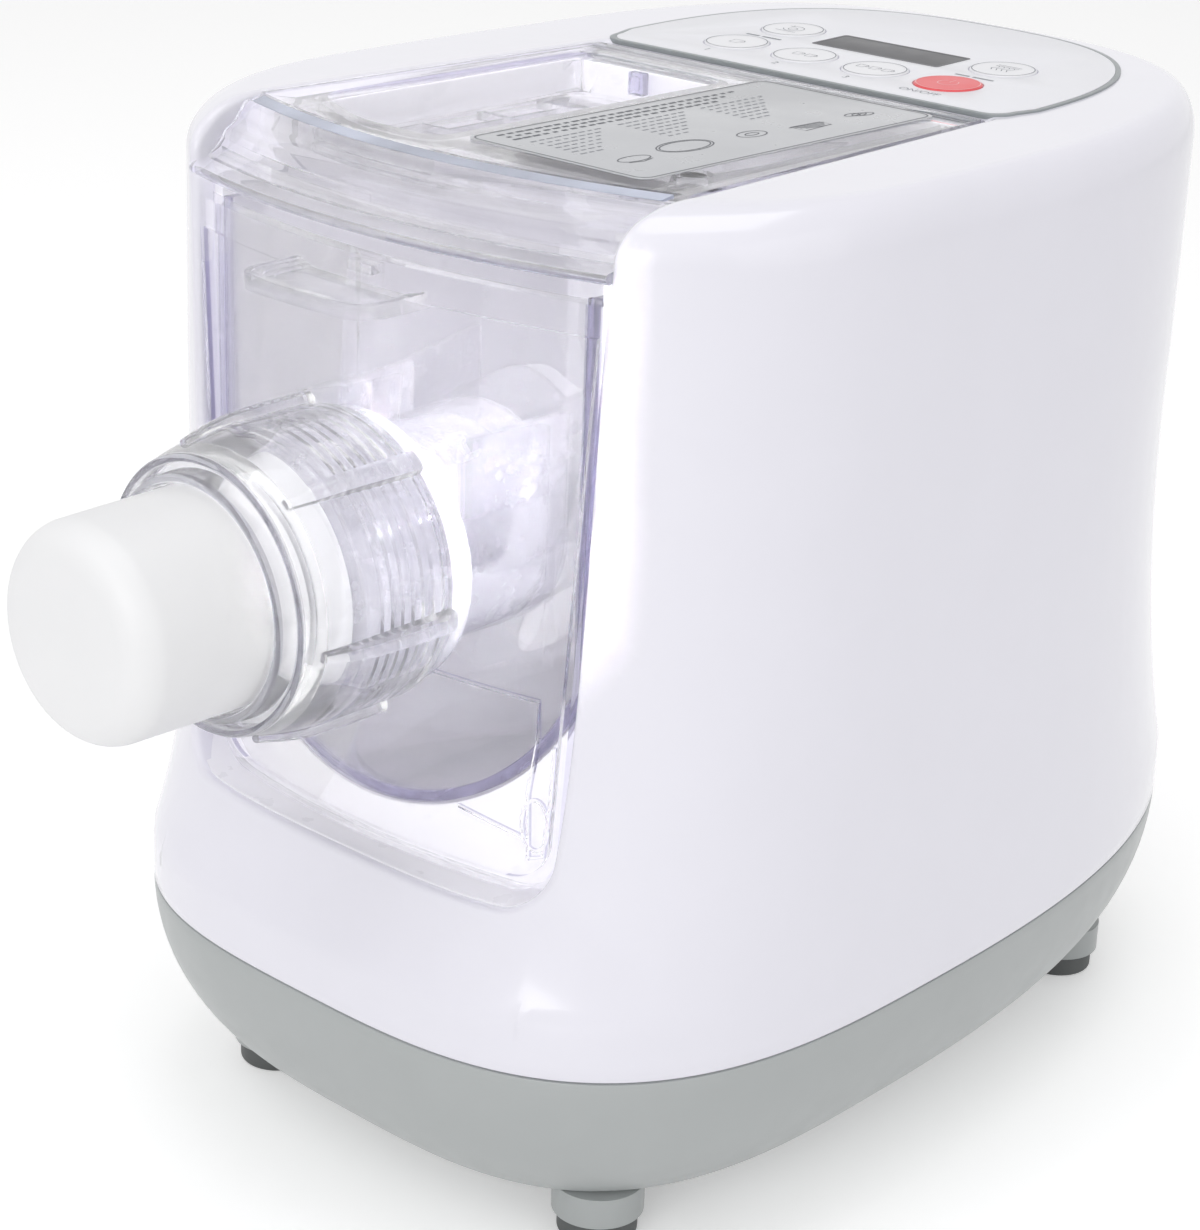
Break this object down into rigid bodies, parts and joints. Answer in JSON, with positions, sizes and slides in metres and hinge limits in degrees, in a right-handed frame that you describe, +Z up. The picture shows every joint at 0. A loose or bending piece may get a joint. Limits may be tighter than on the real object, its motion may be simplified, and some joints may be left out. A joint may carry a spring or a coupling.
{
  "type": "electric pasta maker",
  "caption": "White electric pasta maker with a clear mixing chamber and lid, a ridged clear nozzle nut and a round control panel.",
  "frame": {"origin": "On the floor under the middle of the overall length and width.", "axes": "+X to the right seen from the front, the nozzle points to -Y, +Z up."},
  "size_m": [0.206, 0.366, 0.2629],
  "materials": {
    "white_shell": "glossy moulded shell",
    "grey_base": "fine satin",
    "foot_rubber": "matt",
    "clear_plastic": "clear, faint lavender",
    "seal_lavender": "satin",
    "white_cap": "satin",
    "panel_white": "satin",
    "panel_grey": "satin",
    "button_white": "satin",
    "button_red": "satin",
    "display_dark": "polished window",
    "label_film": "printed film",
    "white_inner": "satin",
    "steel": "turned",
    "zinc_plate": "cast",
    "gear_plastic": "moulded",
    "pinion_brass": "cut",
    "motor_steel": "drawn can",
    "black_plastic": "moulded",
    "board_green": "solder mask",
    "winding_yellow": "tape",
    "capacitor_blue": "sleeve",
    "relay_blue": "moulded",
    "wire_red": "insulation",
    "wire_grey": "insulation"
  },
  "bodies": {
    "housing": {"body_shell": "white_shell", "base_shell": "grey_base", "foot_front_left": "foot_rubber", "foot_front_right": "foot_rubber", "foot_rear_left": "foot_rubber", "foot_rear_right": "foot_rubber", "base_screws": "steel", "control_panel": "panel_white", "panel_border": "panel_grey", "display_window": "display_dark", "display_module": "black_plastic", "control_board": "board_green", "key_switches": "black_plastic", "hinge_pin": "steel", "reed_switch": "black_plastic", "shaft_seal": "black_plastic", "front_bearing": "steel", "rear_bearing": "steel", "gearbox_front_plate": "zinc_plate", "gearbox_rear_plate": "zinc_plate", "gearbox_posts": "steel", "gearbox_screws": "steel", "compound_pin": "steel", "motor_can": "motor_steel", "motor_screws": "steel", "power_board": "board_green", "transformer": "winding_yellow", "capacitor": "capacitor_blue", "relay": "relay_blue", "cord_gland": "black_plastic", "mains_wires": "black_plastic", "motor_leads": "wire_red", "panel_cable": "wire_grey"},
    "lid": {"lid": "clear_plastic", "lid_label": "label_film", "lid_magnet": "steel"},
    "chamber": {"mixing_chamber": "clear_plastic", "chamber_seal": "seal_lavender"},
    "front": {"front_plate": "clear_plastic", "extrusion_barrel": "clear_plastic"},
    "die": {"die_disc": "white_inner"},
    "nut": {"clamp_nut": "clear_plastic"},
    "cap": {"die_cap": "white_cap"},
    "paddle": {"auger": "white_inner", "mixing_paddle": "white_inner"},
    "output": {"drive_shaft": "steel", "output_gear": "gear_plastic"},
    "compound": {"compound_gear": "gear_plastic"},
    "rotor": {"motor_pinion": "pinion_brass", "motor_shaft": "steel", "motor_fan": "black_plastic"},
    "key_one": {"button_one_cup": "button_white"},
    "key_two": {"button_two_cups": "button_white"},
    "key_three": {"button_three_cups": "button_white"},
    "key_power": {"button_power": "button_red"},
    "key_mix": {"button_mix": "button_white"},
    "key_extrude": {"button_extrude": "button_white"}
  },
  "joints": [
    {"name": "lid_hinge", "type": "hinge", "parent": "housing", "child": "lid", "pos_m": [0, 0.0483, 0.2563], "axis": [-1, 0, 0], "range_deg": [0, 92]},
    {"name": "chamber_slide", "type": "slide", "parent": "housing", "child": "chamber", "axis": [0, -1, 0], "range_m": [0, 0.15]},
    {"name": "front_slide", "type": "slide", "parent": "chamber", "child": "front", "axis": [0, -1, 0], "range_m": [0, 0.09]},
    {"name": "die_travel", "type": "slide", "parent": "front", "child": "die", "axis": [0, -1, 0], "range_m": [0, 0.0301]},
    {"name": "nut_turn", "type": "hinge", "parent": "die", "child": "nut", "pos_m": [0, -0.12, 0.1687], "axis": [0, 1, 0], "range_deg": [0, 2160]},
    {"name": "cap_pull", "type": "slide", "parent": "die", "child": "cap", "axis": [0, -1, 0], "range_m": [0, 0.05]},
    {"name": "output_turn", "type": "hinge", "parent": "housing", "child": "output", "pos_m": [0, 0.05, 0.1687], "axis": [0, 1, 0], "continuous": true},
    {"name": "paddle_turn", "type": "hinge", "parent": "chamber", "child": "paddle", "pos_m": [0, -0.01, 0.1687], "axis": [0, 1, 0], "continuous": true},
    {"name": "compound_turn", "type": "hinge", "parent": "housing", "child": "compound", "pos_m": [0, 0.06, 0.11995], "axis": [0, 1, 0], "continuous": true},
    {"name": "rotor_turn", "type": "hinge", "parent": "housing", "child": "rotor", "pos_m": [0, 0.1, 0.08995], "axis": [0, 1, 0], "continuous": true},
    {"name": "key_one_press", "type": "slide", "parent": "housing", "child": "key_one", "axis": [0, 0.0262, -0.9997], "range_m": [0, 0.0006], "stiffness_N_per_m": 900},
    {"name": "key_two_press", "type": "slide", "parent": "housing", "child": "key_two", "axis": [0, 0.0262, -0.9997], "range_m": [0, 0.0006], "stiffness_N_per_m": 900},
    {"name": "key_three_press", "type": "slide", "parent": "housing", "child": "key_three", "axis": [0, 0.0262, -0.9997], "range_m": [0, 0.0006], "stiffness_N_per_m": 900},
    {"name": "key_power_press", "type": "slide", "parent": "housing", "child": "key_power", "axis": [0, 0.0262, -0.9997], "range_m": [0, 0.0006], "stiffness_N_per_m": 900},
    {"name": "key_mix_press", "type": "slide", "parent": "housing", "child": "key_mix", "axis": [0, 0.0262, -0.9997], "range_m": [0, 0.0006], "stiffness_N_per_m": 900},
    {"name": "key_extrude_press", "type": "slide", "parent": "housing", "child": "key_extrude", "axis": [0, 0.0262, -0.9997], "range_m": [0, 0.0006], "stiffness_N_per_m": 900}
  ],
  "couplings": [
    {"joint": "paddle_turn", "follows": "output_turn", "ratio": 1},
    {"joint": "compound_turn", "follows": "output_turn", "ratio": -4.5714},
    {"joint": "rotor_turn", "follows": "output_turn", "ratio": 18.286},
    {"joint": "die_travel", "follows": "nut_turn", "m_per_rad": 0.00079577}
  ]
}
